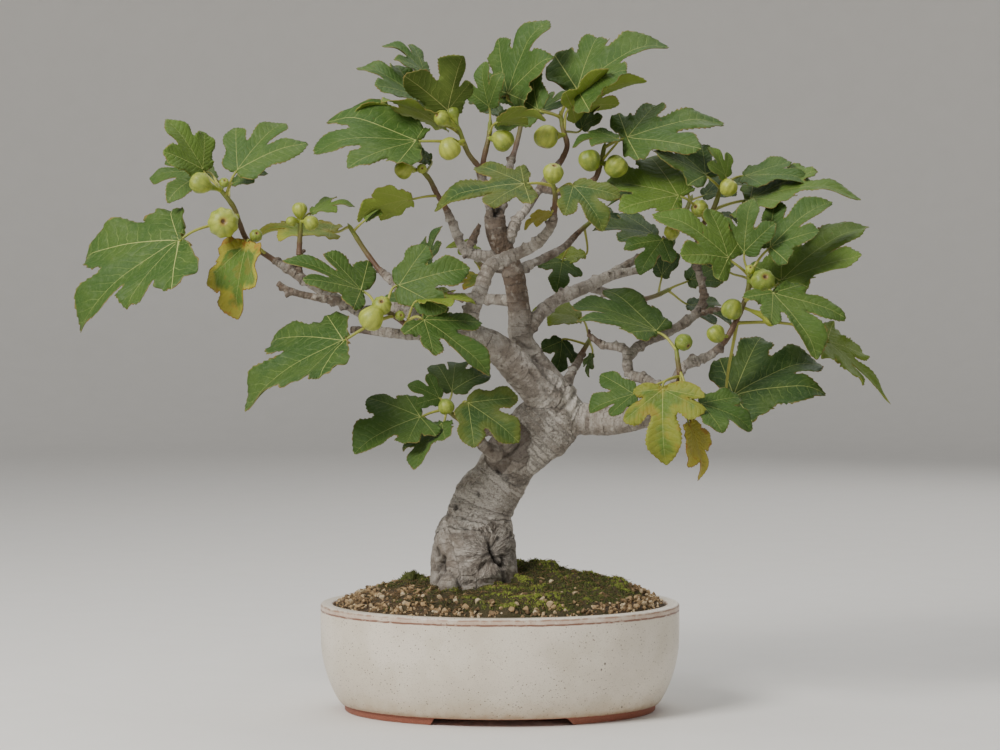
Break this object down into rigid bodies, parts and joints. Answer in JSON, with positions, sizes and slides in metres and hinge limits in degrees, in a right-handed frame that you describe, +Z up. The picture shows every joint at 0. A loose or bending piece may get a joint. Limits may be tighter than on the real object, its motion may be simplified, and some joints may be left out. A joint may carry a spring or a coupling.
{
  "type": "fig bonsai",
  "caption": "Leaning fig bonsai with lobed leaves and small green figs, growing from mossy soil in an oval cream-glazed pot.",
  "frame": {"origin": "centre of the whole tree's box, at the bottom of the pot's feet", "axes": "+Z up, +X to the right along the pot's length as seen from the front, +Y towards the back"},
  "size_m": [0.8126, 0.3676, 0.6958],
  "materials": {
    "glaze": "satin cream stoneware glaze, feet unglazed",
    "soil": "rough dark soil with gravel and moss",
    "mesh": "matte black mesh",
    "bark": "rough grey-brown bark",
    "foliage": "satin green leaves, shoots and figs"
  },
  "bodies": {
    "root": {"pot": "glaze", "soil": "soil", "drain_screen_left": "mesh", "drain_screen_right": "mesh", "wood": "bark", "spray_far_left": "foliage", "spray_left_mid": "foliage", "spray_left_upper": "foliage", "spray_left_front": "foliage", "spray_low_left": "foliage", "spray_right_low": "foliage", "spray_right_tip": "foliage", "spray_right_top": "foliage", "spray_top_right": "foliage", "spray_top_centre": "foliage", "spray_top_left": "foliage", "spray_upper_left": "foliage", "spray_centre_front": "foliage", "spray_upper_right": "foliage", "spray_right_mid": "foliage", "spray_centre_back": "foliage", "spray_inner_right": "foliage", "spray_left_inner": "foliage", "spray_back_left": "foliage", "spray_back_right": "foliage", "spray_back_top": "foliage", "spray_back_upper_right": "foliage"}
  },
  "joints": []
}
